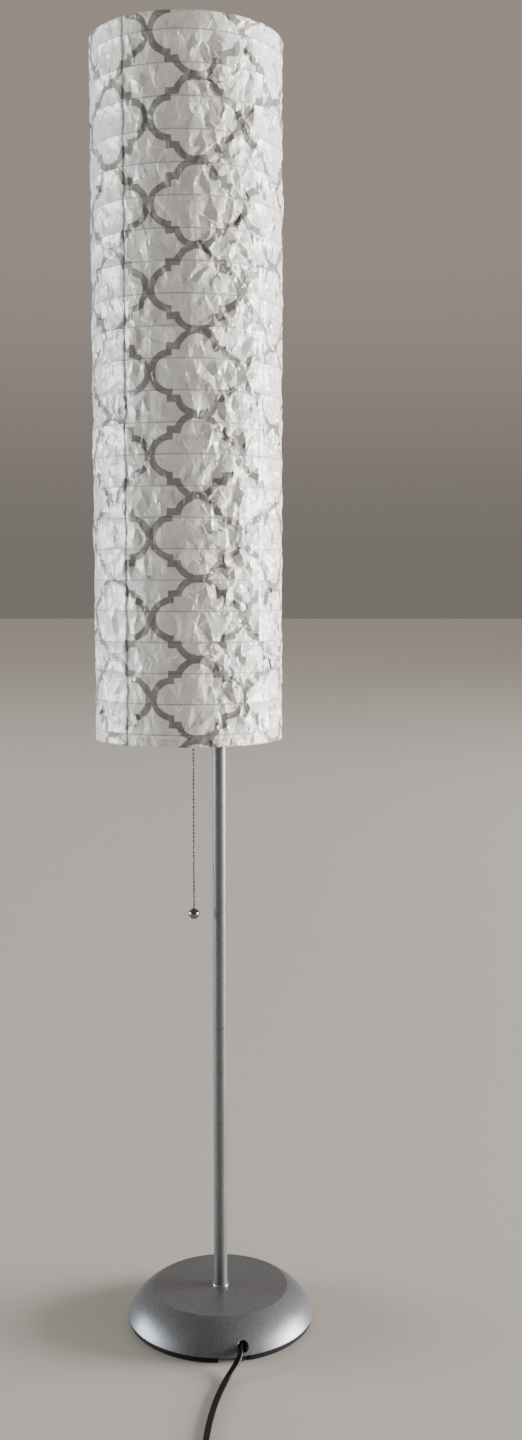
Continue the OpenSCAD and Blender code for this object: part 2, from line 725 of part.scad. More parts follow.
module stretcher_arm() {
    color(steel) difference() {
        union() {
            translate([0, 0, pole_top]) linear_extrude(arm_t) union() {
                circle(r = hub_r + boss_overlap);
                translate([-shade_offset, -arm_w / 2]) square([shade_offset, arm_w]);
                translate([-shade_offset, 0]) circle(r = boss_r);
            }
            on_shade() translate([0, 0, pole_top - boss_h]) cylinder(h = boss_h, r = boss_r);
        }
        translate([0, 0, pole_top - through]) cylinder(h = arm_t + 2 * through, r = nipple_r + fit);
        on_shade() {
            translate([0, 0, pole_top - boss_h - through])
                cylinder(h = boss_h + arm_t + 2 * through, r = rod_r + fit);
            translate([0, 0, pole_top - boss_h / 2]) rotate([0, -90, 0])
                cylinder(h = boss_r + through, r = set_screw_d / 2 + fit, $fn = 32);
        }
    }
}
module arm_screw() {
    color(steel) on_shade() translate([-rod_r - fit, 0, pole_top - boss_h / 2]) rotate([0, -90, 0]) {
        cylinder(h = boss_wall + thumb_out, r = set_screw_d / 2, $fn = 32);
        translate([0, 0, boss_wall + thumb_out]) cylinder(h = thumb_t, r = thumb_r, $fn = 32);
    }
}
module stretcher_rod() {
    bottom = bottom_ring_z - ring_r - rod_thread;
    color(steel) on_shade() translate([0, 0, bottom])
        cylinder(h = top_ring_z + ring_r + rod_thread - bottom, r = rod_r);
}
module rod_collars() {
    color(steel) on_shade() {
        ring_bar(bottom_ring_z + ring_r, collar_t, rod_collar_r, rod_r + fit);
        ring_bar(top_ring_z - ring_r - collar_t, collar_t, rod_collar_r, rod_r + fit);
    }
}
// A domed cap on one end of the rod, drawn pointing up from z = 0
module rod_cap() {
    difference() {
        union() {
            cylinder(h = rod_cap_t - rod_cap_round, r = rod_cap_r);
            translate([0, 0, rod_cap_t - rod_cap_round])
                cylinder(h = rod_cap_round, r1 = rod_cap_r, r2 = rod_cap_r - rod_cap_round);
        }
        translate([0, 0, -through]) cylinder(h = rod_thread + fit + through, r = rod_r + fit);
    }
}
module rod_caps() {
    color(steel) on_shade() {
        translate([0, 0, top_ring_z + ring_r]) rod_cap();
        translate([0, 0, bottom_ring_z - ring_r]) mirror([0, 0, 1]) rod_cap();
    }
}
// An end ring with its crossbar and the eye that the rod passes through
module end_ring(z) {
    bar = ring_line - eye_r + ring_r;
    on_shade() {
        wire_ring(ring_line, z, ring_r);
        wire_ring(eye_r - ring_r, z, ring_r);
        for (side = [0, 180]) rotate([0, 0, side]) translate([0, eye_r - ring_r, z]) rotate([-90, 0, 0])
            cylinder(h = bar, r = ring_r * bar_slim, $fn = 32);
    }
}
module top_ring() { color(steel) end_ring(top_ring_z); }
module bottom_ring() { color(steel) end_ring(bottom_ring_z); }
module rib_rings() {
    color(steel) on_shade() for (i = [0 : rib_count - 1])
        wire_ring(rib_line, shade_top - first_rib - i * rib_pitch, rib_r, 14);
}
module shade_paper() {
    color(paper_white) on_shade() rotate_extrude($fn = 144)
        polygon(concat(paper_line(shade_r), reversed(paper_line(shade_r - paper_t))));
}
// A folded strip of paper round the outside of the shade
module hem(z0, h) {
    on_shade() ring_bar(z0, h, shade_r + fit + hem_t, shade_r + fit);
}
module top_hem() { color(paper_white) hem(shade_top - top_hem_h, top_hem_h); }
module bottom_hem() { color(paper_white) hem(shade_z, bottom_hem_h); }

// Cord

module pole_cord() {
    bend_z = hole_z + inner_bend;
    color(black_plastic) on_hole_side() {
        translate([0, 0, bend_z]) cylinder(h = switch_z + terminal_rise - bend_z, r = cord_r);
        translate([0, -inner_bend, bend_z]) rotate([90, 0, 90]) rotate([0, 0, -90])
            rotate_extrude(angle = 90) translate([inner_bend, 0]) circle(r = cord_r);
        translate([0, -inner_bend, hole_z]) rotate([90, 0, 0])
            cylinder(h = inner_end - inner_bend, r = cord_r);
    }
}
module cord_tube() { color(black_plastic) swept(cord_route, cord_r, cord_sides); }
module cord_tail() { color(black_plastic) swept(tail_route, cord_r, cord_sides); }
module at_tie() {
    translate([coil_x, coil_y, 0]) rotate([0, 0, 180]) children();
}
module cord_coil() {
    color(black_plastic) difference() {
        translate([coil_x, coil_y, 0]) rotate_extrude()
            translate([coil_in, 0]) square([coil_out - coil_in, coil_h]);
        at_tie() translate([coil_in - through, -tie_w / 2, -through])
            cube([coil_out - coil_in + 2 * through, tie_w, tie_t + through]);
    }
}
module coil_tie() {
    color([0.12, 0.12, 0.12]) at_tie() difference() {
        translate([coil_in - tie_t, -tie_w / 2, 0])
            cube([coil_out - coil_in + 2 * tie_t, tie_w, coil_h + tie_t]);
        translate([0, 0, tie_t]) ring_bar(0, coil_h - tie_t, coil_out, coil_in);
    }
}
module plug_body() {
    body_len = plug_len - snout_len;
    color(black_plastic) translate([plug_x, plug_y, plug_z]) rotate([0, -90, 0]) difference() {
        union() {
            cylinder(h = snout_len, r1 = cord_r + snout_wall, r2 = cord_r + snout_flare);
            translate([-plug_t / 2, -plug_w / 2, snout_len]) cube([plug_t, plug_w, body_len]);
        }
        for (side = [-1, 1]) translate([0, side * (plug_w / 2 + grip_out), snout_len + body_len * grip_share])
            rotate([0, 90, 0]) cylinder(h = plug_t + 2 * through, r = grip_r, center = true);
        for (side = [-1, 1]) translate([0, side * blade_gap / 2, plug_len - blade_root])
            blade_hole(side);
    }
}
module blade_hole(side) {
    w = (side < 0 ? blade_w : wide_blade_w) + 2 * fit;
    translate([-w / 2, -blade_t / 2 - fit, 0]) cube([w, blade_t + 2 * fit, blade_root + through]);
}
module plug_blades() {
    color(brass_metal) translate([plug_x - plug_len, plug_y, plug_z]) rotate([0, -90, 0])
        for (side = [-1, 1]) translate([0, side * blade_gap / 2, 0]) {
            w = side < 0 ? blade_w : wide_blade_w;
            difference() {
                translate([-w / 2, -blade_t / 2, -blade_root]) cube([w, blade_t, blade_len + blade_root]);
                translate([0, blade_t, blade_len - blade_hole_end - blade_hole_d / 2]) rotate([90, 0, 0])
                    cylinder(h = 2 * blade_t, r = blade_hole_d / 2, $fn = 24);
            }
        }
}

felt_pad();
bottom_tray();
tray_screws();
base_weight();
base_cover();
cover_plate();
base_nipple();
base_washer();
base_nut();
foot_collar();
cord_stop();
foot_bushing();
lower_pole();
lower_joint_bushings();
lower_joint_nipple();
middle_pole();
upper_joint_bushings();
upper_joint_nipple();
top_pole();
top_bushing();
holder_nipple();
stretcher_arm();
arm_screw();
holder_cap();
cap_screw();
switch_body();
holder_shell();
holder_liner();
screw_shell();
centre_contact();
terminal_screws();
chain_guide();
pull_lever();
lever_pin();
chain_top();
pull_chain();
chain_ball();
bulb_cap();
bulb_glass();
stretcher_rod();
rod_collars();
rod_caps();
top_ring();
bottom_ring();
rib_rings();
shade_paper();
top_hem();
bottom_hem();
pole_cord();
cord_tube();
cord_coil();
cord_tail();
coil_tie();
plug_body();
plug_blades();
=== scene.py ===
import bisect
import json
import math

import bmesh
import bpy
import numpy as np
from mathutils import Matrix, Vector


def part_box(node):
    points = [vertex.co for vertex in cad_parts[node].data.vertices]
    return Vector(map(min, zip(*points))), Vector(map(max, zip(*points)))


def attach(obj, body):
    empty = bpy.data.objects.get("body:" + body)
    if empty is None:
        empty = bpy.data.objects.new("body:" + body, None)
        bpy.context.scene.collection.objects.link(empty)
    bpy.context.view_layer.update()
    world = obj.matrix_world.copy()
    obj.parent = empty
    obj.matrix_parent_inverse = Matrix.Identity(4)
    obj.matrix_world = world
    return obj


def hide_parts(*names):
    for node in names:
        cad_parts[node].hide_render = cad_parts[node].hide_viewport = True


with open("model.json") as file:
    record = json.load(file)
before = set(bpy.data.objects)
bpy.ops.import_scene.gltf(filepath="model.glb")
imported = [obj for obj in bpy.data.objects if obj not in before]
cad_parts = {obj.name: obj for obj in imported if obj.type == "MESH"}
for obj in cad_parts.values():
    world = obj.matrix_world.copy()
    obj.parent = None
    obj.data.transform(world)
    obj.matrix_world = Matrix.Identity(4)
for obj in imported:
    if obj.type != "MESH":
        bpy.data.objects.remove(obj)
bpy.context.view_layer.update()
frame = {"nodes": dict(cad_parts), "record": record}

mm = 0.001


# Camera

cameraSettings = {
    "place": (0.0486, -1.7376, 0.8919),
    "pitchDown": 5.48,    # degrees
    "lens": 37.5,
    "frameHeight": 36.0,
}


def makeCamera(s):
    data = bpy.data.cameras.new("camera")
    data.sensor_fit = "VERTICAL"
    data.sensor_height = s["frameHeight"]
    data.lens = s["lens"]
    camera = bpy.data.objects.new("camera", data)
    camera.location = s["place"]
    camera.rotation_euler = (math.radians(90 - s["pitchDown"]), 0, 0)
    bpy.context.scene.collection.objects.link(camera)
    bpy.context.scene.camera = camera


makeCamera(cameraSettings)
print("camera placed")


# Shared steps for materials

def newMaterial(name, colour, roughness, metallic=0.0, **more):
    material = bpy.data.materials.new(name)
    material.use_nodes = True
    shader = material.node_tree.nodes["Principled BSDF"]
    shader.inputs["Base Color"].default_value = (*colour, 1)
    shader.inputs["Roughness"].default_value = roughness
    shader.inputs["Metallic"].default_value = metallic
    for socket, value in more.items():
        shader.inputs[socket.replace("_", " ")].default_value = value
    material.diffuse_color = (*colour, 1)
    return material, material.node_tree, shader


def feed(tree, socket, value):
    if isinstance(value, bpy.types.NodeSocket):
        tree.links.new(value, socket)
    elif isinstance(value, tuple) and len(socket.default_value) == 4:
        socket.default_value = (*value, 1)
    else:
        socket.default_value = value


def addNode(tree, kind, settings=None, inputs=None):
    node = tree.nodes.new(kind)
    for key, value in (settings or {}).items():
        setattr(node, key, value)
    for key, value in (inputs or {}).items():
        feed(tree, node.inputs[key], value)
    return node


def maths(tree, operation, a, b=0.0, c=0.0):
    return addNode(tree, "ShaderNodeMath", {"operation": operation}, {0: a, 1: b, 2: c}).outputs[0]


def mapRange(tree, value, fromLow, fromHigh, low, high, kind="LINEAR"):
    return addNode(tree, "ShaderNodeMapRange", {"interpolation_type": kind},
                   {"Value": value, "From Min": fromLow, "From Max": fromHigh,
                    "To Min": low, "To Max": high}).outputs[0]


def mixColours(tree, factor, a, b, blend="MIX"):
    return addNode(tree, "ShaderNodeMix", {"data_type": "RGBA", "blend_type": blend},
                   {0: factor, 6: a, 7: b}).outputs[2]


def objectPlace(tree):
    return tree.nodes.new("ShaderNodeTexCoord").outputs["Object"]


def newGroup(name, inputs, outputs):
    group = bpy.data.node_groups.new(name, "ShaderNodeTree")
    for label in inputs:
        kind = "NodeSocketVector" if label == "place" else "NodeSocketFloat"
        group.interface.new_socket(label, in_out="INPUT", socket_type=kind)
    for label in outputs:
        group.interface.new_socket(label, in_out="OUTPUT", socket_type="NodeSocketFloat")
    return group, group.nodes.new("NodeGroupInput").outputs, group.nodes.new("NodeGroupOutput").inputs


def useGroup(tree, group, **inputs):
    node = addNode(tree, "ShaderNodeGroup", {"node_tree": group}, inputs)
    return node.outputs[0]


def addBump(tree, shader, height, distance):
    bump = addNode(tree, "ShaderNodeBump", None,
                   {"Height": height, "Distance": distance, "Strength": 1.0})
    tree.links.new(bump.outputs[0], shader.inputs["Normal"])


# Slow cloudy change, for a finish that has been handled and dusted
def makeSmudges():
    group, given, result = newGroup("smudges", ["place", "size", "low", "high"], ["value"])
    cloud = addNode(group, "ShaderNodeTexNoise", None,
                    {"Vector": given["place"], "Scale": given["size"], "Detail": 4.0, "Roughness": 0.6})
    value = mapRange(group, cloud.outputs[0], 0.3, 0.7, given["low"], given["high"])
    group.links.new(value, result["value"])
    return group


# Small cells of random brightness, like flakes in paint
def makeFlakes():
    group, given, result = newGroup("flakes", ["place", "size", "low", "high"], ["value"])
    cells = addNode(group, "ShaderNodeTexVoronoi", None, {"Vector": given["place"], "Scale": given["size"]})
    grey = addNode(group, "ShaderNodeSeparateColor", None, {"Color": cells.outputs["Color"]})
    value = mapRange(group, grey.outputs[0], 0.0, 1.0, given["low"], given["high"])
    group.links.new(value, result["value"])
    return group


# Fine raised lines, as in paper that has been crumpled and smoothed out
def makeCreases():
    group, given, result = newGroup("creases", ["place", "size"], ["height"])
    stretched = addNode(group, "ShaderNodeVectorMath", {"operation": "MULTIPLY"},
                        {0: given["place"], 1: (1, 0.6, 1)})
    ridges = addNode(group, "ShaderNodeTexNoise", {"noise_type": "RIDGED_MULTIFRACTAL"},
                     {"Vector": stretched.outputs[0], "Scale": given["size"], "Detail": 3.0, "Roughness": 0.5,
                      "Lacunarity": 2.2, "Offset": 0.9, "Gain": 1.2})
    group.links.new(ridges.outputs[0], result["height"])
    return group


smudges = makeSmudges()
flakes = makeFlakes()
creases = makeCreases()


# Shared steps for meshes

def placeMesh(name, bm, material, body, replaces=(), sharpAngle=None):
    mesh = bpy.data.meshes.new(name)
    bm.to_mesh(mesh)
    bm.free()
    mesh.shade_smooth()
    if sharpAngle:
        mesh.set_sharp_from_angle(angle=math.radians(sharpAngle))
    piece = bpy.data.objects.new(name, mesh)
    bpy.context.scene.collection.objects.link(piece)
    mesh.materials.append(material)
    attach(piece, body)
    if replaces:
        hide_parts(*replaces)
    return piece


# Turns a closed outline of (radius, height) points once round the pole's axis
def turned(outline, steps):
    bm = bmesh.new()
    points = [bm.verts.new((r, 0, z)) for r, z in outline]
    edges = [bm.edges.new(pair) for pair in zip(points, points[1:] + points[:1])]
    bmesh.ops.spin(bm, geom=points + edges, cent=(0, 0, 0), axis=(0, 0, 1), angle=2 * math.pi, steps=steps,
                   use_merge=True)
    bmesh.ops.remove_doubles(bm, verts=bm.verts, dist=1e-6)
    bmesh.ops.recalc_face_normals(bm, faces=bm.faces)
    return bm


# Rounds the corners of an open line that have a radius, given as (x, y, radius) points
def rounded(points, steps=5):
    line = []
    for i, (x, y, radius) in enumerate(points):
        here = Vector((x, y))
        if radius <= 0:
            line.append((x, y))
            continue
        back = (Vector(points[i - 1][:2]) - here).normalized()
        ahead = (Vector(points[i + 1][:2]) - here).normalized()
        half = back.angle(ahead) / 2
        reach = radius / math.tan(half)
        middle = here + (back + ahead).normalized() * (radius / math.sin(half))
        start = here + back * reach - middle
        turn = (here + ahead * reach - middle).angle_signed(start)
        for k in range(steps + 1):
            spoke = start.copy()
            spoke.rotate(Matrix.Rotation(turn * k / steps, 2))
            line.append(tuple(middle + spoke))
    return line


# Black cord

cordSettings = {
    "width": 7 * mm,
    "thick": 3.5 * mm,
    "exit": (0.0277, -0.1057, 0.0165),
    "coilCentre": (-0.050, -0.340),
    "coilRadius": 41.5 * mm,
    "columns": 3,
    "layers": 2,
    "pointsPerTurn": 24,
    # how far the cord lies to the right of its route, in mm, from the route's third point on
    "aside": [-0.9, -1.9, -1.9, -1.5, -1.3, -1.2, -1.1, -0.8, -0.4],
    # where it turns from its edge to its flat side and back: first point and number of points
    "turnDown": (2, 4),
    "turnUp": (16, 4),
    "turnDownTail": (1, 4),
    "webAngle": 62,           # degrees from the middle line, where the web between the cores starts
    "cornersPerCore": 9,
}
# The same route as the part's own cord, in mm, to the coil and from the coil to the plug
routeOut = [(24.6, -88.7, 17), (26.2, -94.4, 17), (27.3, -99.9, 17), (27.7, -105.7, 16.5),
            (27.1, -111.7, 15.4), (25.4, -117.5, 13.6), (22.6, -123.4, 11.1), (18.9, -130.4, 8.3),
            (14.4, -139.2, 5.7), (10.1, -149.7, 4.1), (6.3, -162.1, 3.5), (2.9, -175.2, 3.5),
            (0.1, -189, 3.5), (-2.2, -203, 3.5), (-4.3, -218, 3.5), (-6, -233, 3.5), (-7.3, -249, 3.5),
            (-8.2, -266, 3.5), (-8.5, -284, 3.5), (-8.5, -301, 3.5), (-8.5, -318, 3.5)]
routeTail = [(-8.5, -362, 9.6), (-9.5, -375, 6.6), (-13, -384.5, 4.6), (-20, -393.5, 3.7),
             (-30, -400, 3.9), (-41, -402.8, 6.2), (-48, -403, 8.5), (-54.7, -403, 8.5)]


def smoothStep(x):
    x = min(max(x, 0.0), 1.0)
    return x * x * (3 - 2 * x)


# Points of the coil with the cord on edge: inwards along the floor, up, and outwards on top
def coilPoints(s):
    points = []
    turns = s["columns"] * s["layers"]
    for i in range(turns * s["pointsPerTurn"] + 1):
        turn, part = divmod(i / s["pointsPerTurn"], 1.0)
        layer, column = divmod(int(min(turn, turns - 1)), s["columns"])
        shift = smoothStep((part - 0.75) / 0.25) if turn < turns else 0.0
        lastColumn = column == s["columns"] - 1
        ring = column + (0.0 if lastColumn else shift)
        if layer % 2:
            ring = s["columns"] - 1 - ring
        level = layer + (shift if lastColumn and layer < s["layers"] - 1 else 0.0)
        radius = s["coilRadius"] - ring * s["thick"]
        angle = -2 * math.pi * i / s["pointsPerTurn"]
        points.append((s["coilCentre"][0] + radius * math.cos(angle),
                       s["coilCentre"][1] + radius * math.sin(angle), s["width"] * (level + 0.5)))
    return points


# The cord's points with how far it is turned on edge: 1 upright, 0 lying flat
def cordLine(s):
    def turnedBy(i, turn):
        return smoothStep((i - turn[0]) / turn[1])

    def onEdgeOut(i):
        return 1 - turnedBy(i, s["turnDown"]) + turnedBy(i, s["turnUp"])

    def onEdgeTail(i):
        return 1 - turnedBy(i, s["turnDownTail"])

    def lowered(p, onEdge):
        return (p[0] * mm, p[1] * mm, p[2] * mm - (1 - math.sin(math.pi / 2 * onEdge)) * s["thick"] / 2)

    # the cord leaves at the left of its hole
    aside = dict(enumerate(s["aside"], start=2))
    out = [(x + aside.get(i, 0), y, z) for i, (x, y, z) in enumerate(routeOut)]
    line = [(lowered(p, onEdgeOut(i)), onEdgeOut(i)) for i, p in enumerate(out)]
    line += [(p, 1.0) for p in coilPoints(s)]
    line += [(lowered(p, onEdgeTail(i)), onEdgeTail(i)) for i, p in enumerate(routeTail)]
    return line


# Two round cores side by side in one jacket, as a closed outline
def cordProfile(s):
    core = s["thick"] / 2
    centre = s["width"] / 2 - core
    waist = math.radians(s["webAngle"])
    right = []
    for k in range(s["cornersPerCore"]):
        angle = (math.pi - waist) * (2 * k / (s["cornersPerCore"] - 1) - 1)
        right.append((centre + core * math.cos(angle), core * math.sin(angle)))
    outline = right + [(-x, y) for x, y in reversed(right)]
    curve = bpy.data.curves.new("cordProfile", "CURVE")
    curve.dimensions = "2D"
    spline = curve.splines.new("POLY")
    spline.points.add(len(outline) - 1)
    for point, (x, y) in zip(spline.points, outline):
        point.co = (x, y, 0, 1)
    spline.use_cyclic_u = True
    profile = bpy.data.objects.new("cordProfile", curve)
    bpy.context.scene.collection.objects.link(profile)
    profile.hide_render = True
    profile.hide_viewport = True
    return profile


def makeCordMaterial():
    material, tree, shader = newMaterial("cordJacket", (0.004, 0.004, 0.0045), 0.3, Specular_IOR_Level=0.22)
    place = objectPlace(tree)
    gloss = useGroup(tree, smudges, place=place, size=60.0, low=0.24, high=0.42)
    feed(tree, shader.inputs["Roughness"], gloss)
    fine = addNode(tree, "ShaderNodeTexNoise", None, {"Vector": place, "Scale": 900.0, "Detail": 2.0})
    addBump(tree, shader, fine.outputs[0], 0.00006)
    return material


def makeCord(s):
    curve = bpy.data.curves.new("cord", "CURVE")
    curve.dimensions = "3D"
    curve.twist_mode = "Z_UP"
    curve.resolution_u = 5
    curve.bevel_mode = "OBJECT"
    curve.bevel_object = cordProfile(s)
    curve.use_fill_caps = True
    line = cordLine(s)
    spline = curve.splines.new("BEZIER")
    spline.bezier_points.add(len(line) - 1)
    for point, (place, onEdge) in zip(spline.bezier_points, line):
        point.co = place
        point.handle_left_type = point.handle_right_type = "AUTO"
        point.tilt = math.pi / 2 * onEdge
    curve.materials.append(makeCordMaterial())
    cord = bpy.data.objects.new("cord", curve)
    bpy.context.scene.collection.objects.link(cord)
    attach(cord, "stand")
    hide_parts("cord_tube", "cord_coil", "cord_tail")
    return cord


cord = makeCord(cordSettings)
print("cord laid")


# Paper shade

box = {name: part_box(name) for name in frame["nodes"]}
shadeLow, shadeHigh = box["shade_paper"]
shadeSettings = {
    "centreX": (shadeLow.x + shadeHigh.x) / 2,
    "radius": (shadeHigh.x - shadeLow.x) / 2,
    "bottom": shadeLow.z,
    "top": shadeHigh.z,
    "firstRib": 19 * mm,          # below the top edge
    "lastRib": 13.4 * mm,         # above the lower edge
    "ribCount": 23,
    "paper": 0.2 * mm,
    "draw": 2.0 * mm,             # how far the paper draws in between ribs
    "panels": 4,
    "firstSeam": -39.0,           # degrees from the front, towards the right
    "overlap": 5 * mm,            # of one panel over the next
    "overlapLift": 0.5 * mm,
    "liftStart": 5 * mm,          # before the next panel starts
    "liftRun": 4 * mm,
    "hemLift": 0.25 * mm,
    "calmSeam": 5 * mm,           # smooth paper beside a seam, and the run to full crumpling
    "calmRun": 9 * mm,
    "widePitch": 33 * mm,         # between ribs, from which the paper is at its freest
    "facetsAcross": 21,           # across a panel, before each is split
    "facetHigh": 10.5 * mm,
    "splits": 2,
    "shuffle": 0.4,               # share of a facet that its corners are moved
    "mostMoved": (1.1, 1.1, 1.7),  # times the usual move: sideways, upwards, outwards
    "relief": 3.4 * mm,
    "mostRelief": 2 * mm,         # out past the ribs
    "finer": 0.2,                 # relief of each split, as a share of the one before
    "fold": 1.2 * mm,             # of the fold down the middle of a panel
    "printSlip": 0.55,            # how much of the shuffling the print takes part in where most crumpled
    # How crumpled the paper is across a panel, from its left seam to its right one
    "crumpleAt": [0.0, 0.15, 0.3, 0.48, 0.52, 0.65, 0.8, 1.0],
    "crumple": [0.5, 0.45, 0.22, 0.2, 0.55, 1.0, 0.9, 0.6],
    "panelCrumple": [1.15, 1.2, 0.9, 0.36],
    "panelPrintShift": [(0.0, 0.0), (-0.03, 0.11), (0.05, -0.06), (-0.426, -0.01)],  # in pattern cells
    "sharpAngle": 8,
    "seed": 11,
}
printSettings = {
    "cellWidth": 105.6 * mm,
    "cellHeight": 87.8 * mm,
    "stretch": 1.064,
    "middleAcross": 8.2,          # degrees from the front of a cell's centre
    "middleUp": 1.3722,           # height of a cell's centre
    "lobeAcross": 27.9 * mm,
    "lobeUp": 23.6 * mm,
    "innerRadius": 18.4 * mm,
    "innerHalfWidth": 26.8 * mm,
    "innerHalfHeight": 25.2 * mm,
    "outerRadius": 26.2 * mm,
    "outerHalfWidth": 33.5 * mm,
    "outerHalfHeight": 33.5 * mm,
    "edgeSoftness": 0.35 * mm,
    "white": ((0.84, 0.825, 0.785), (0.90, 0.893, 0.865)),
    "grey": ((0.27, 0.266, 0.257), (0.32, 0.315, 0.303)),
    "ribShadowHalfWidth": 1.1 * mm,          # half the width of the painted shadow line that a wire casts through the paper
    # colour of the painted wire shadows
    "ribShadowColour": (0.13, 0.12, 0.11),
}


# Heights of the wires that hold the sheet, with its two edges
def heldHeights(s):
    first, last = s["bottom"] + s["lastRib"], s["top"] - s["firstRib"]
    pitch = (last - first) / (s["ribCount"] - 1)
    return [s["bottom"]] + [first + pitch * i for i in range(s["ribCount"])] + [s["top"]]


def facetRows(s):
    held = heldHeights(s)
    rows = [held[0]]
    for low, high in zip(held, held[1:]):
        count = max(2, round((high - low) / s["facetHigh"]))
        rows += [low + (high - low) * (k + 1) / count for k in range(count)]
    return rows


# Depth of the paper between two ribs, and how freely it crumples there
def drawnIn(s, held, angle, height):
    gap = min(max(bisect.bisect_right(held, height) - 1, 0), len(held) - 2)
    low, high = held[gap], held[gap + 1]
    part = min(max((height - low) / (high - low), 0.0), 1.0)
    size = min((high - low) / s["widePitch"], 1.0)
    wave = sum(math.sin(angle * k + gap * (2.1 + k)) for k in (7, 13, 21, 29)) / 4
    slack = (1 - abs(2 * part - 1) ** 2.6) * size
    free = 0.06 + 0.94 * math.sin(math.pi * part) ** 0.6 * size
    return -s["draw"] * slack * (0.8 + 0.7 * wave), free


def printPlace(arc, height, shift):
    across = arc - math.radians(printSettings["middleAcross"]) * shadeSettings["radius"]
    return (across + shift[0] * printSettings["cellWidth"],
            height - printSettings["middleUp"] + shift[1] * printSettings["cellHeight"], 0)


# Moves corners of facets about in the flat sheet and up or down, least near the seams
def disturb(s, verts, random, wide, quarter, held, share, rise):
    cell = (wide / s["facetsAcross"] * share, s["facetHigh"] * share)
    for vert in verts:
        x, y, z = vert.co
        nearest = min(abs(y - height) for height in held)
        calm = smoothStep((min(x, quarter - x) - s["calmSeam"]) / s["calmRun"])
        strength = float(np.interp(x / quarter, s["crumpleAt"], s["crumple"]))
        most = np.array(s["mostMoved"])
        sideways, upwards, outwards = np.clip(random.normal(0, 1, 3), -most, most)
        if 1e-6 < x < wide - 1e-6:
            vert.co.x += sideways * s["shuffle"] * cell[0] * calm
        if nearest > 1e-6:
            vert.co.y += upwards * s["shuffle"] * min(cell[1], nearest) * calm
        vert.co.z += outwards * rise * strength * calm


# One panel of the paper as a flat sheet of facets, folded and then bent round the shade
def foldPanel(s, i):
    random = np.random.default_rng(s["seed"] + i)
    quarter = 2 * math.pi * s["radius"] / s["panels"]
    wide = quarter + s["overlap"]
    held, rows, columns = heldHeights(s), facetRows(s), s["facetsAcross"]
    rise = s["relief"] * s["panelCrumple"][i]
    bm = bmesh.new()
    bmesh.ops.create_grid(bm, x_segments=columns, y_segments=len(rows) - 1, size=0.5)
    printed = bm.verts.layers.float_vector.new("print")
    foldColumn = round(columns * quarter / wide / 2)
    for vert in bm.verts:
        column, row = round((vert.co.x + 0.5) * columns), round((vert.co.y + 0.5) * (len(rows) - 1))
        vert.co = (wide * column / columns, rows[row], s["fold"] if column == foldColumn else 0)
        vert[printed] = vert.co
    disturb(s, bm.verts, random, wide, quarter, held, 1.0, rise)
    bmesh.ops.triangulate(bm, faces=bm.faces, quad_method="SHORT_EDGE")
    for k in range(1, s["splits"] + 1):
        before = len(bm.verts)
        bmesh.ops.subdivide_edges(bm, edges=bm.edges, cuts=1)
        disturb(s, list(bm.verts)[before:], random, wide, quarter, held, 0.5 ** k, rise * s["finer"] ** k)
    bmesh.ops.triangulate(bm, faces=bm.faces)
    for vert in bm.verts:
        x, y, relief = vert.co
        arc = math.radians(s["firstSeam"]) * s["radius"] + i * quarter
        drawn, free = drawnIn(s, held, (arc + x) / s["radius"], y)
        lift = s["overlapLift"] * smoothStep((x - quarter + s["liftStart"]) / s["liftRun"])
        rough = min(float(np.interp(x / quarter, s["crumpleAt"], s["crumple"])) * s["panelCrumple"][i], 1.0)
        slip = (vert[printed] - vert.co) * s["printSlip"] * rough
        vert[printed] = printPlace(arc + x + slip.x, y + slip.y, s["panelPrintShift"][i])
        radius = s["radius"] + drawn + min(relief * free, s["mostRelief"]) + lift
        angle = (arc + x) / s["radius"]
        vert.co = (s["centreX"] + radius * math.sin(angle), -radius * math.cos(angle), y)
    bmesh.ops.recalc_face_normals(bm, faces=bm.faces)
    bm.faces.ensure_lookup_table()
    middle = bm.faces[len(bm.faces) // 2]
    place = middle.calc_center_median()
    if middle.normal.dot(place - Vector((s["centreX"], 0, place.z))) < 0:
        bmesh.ops.reverse_faces(bm, faces=bm.faces)
    return bm


# A strip of the panel between two heights, lifted off it as the paper's turned edge
def turnEdge(s, panel, low, high):
    bm = panel.copy()
    for height, upwards in ((low, -1), (high, 1)):
        bmesh.ops.bisect_plane(bm, geom=bm.verts[:] + bm.edges[:] + bm.faces[:],
                               plane_co=(0, 0, height), plane_no=(0, 0, upwards), clear_outer=True)
    for vert in bm.verts:
        out = Vector((vert.co.x - s["centreX"], vert.co.y, 0)).normalized()
        vert.co += out * s["hemLift"]
    return bm


def addWall(piece, thickness):
    wall = piece.modifiers.new("wall", "SOLIDIFY")
    wall.thickness = thickness
    wall.offset = -1


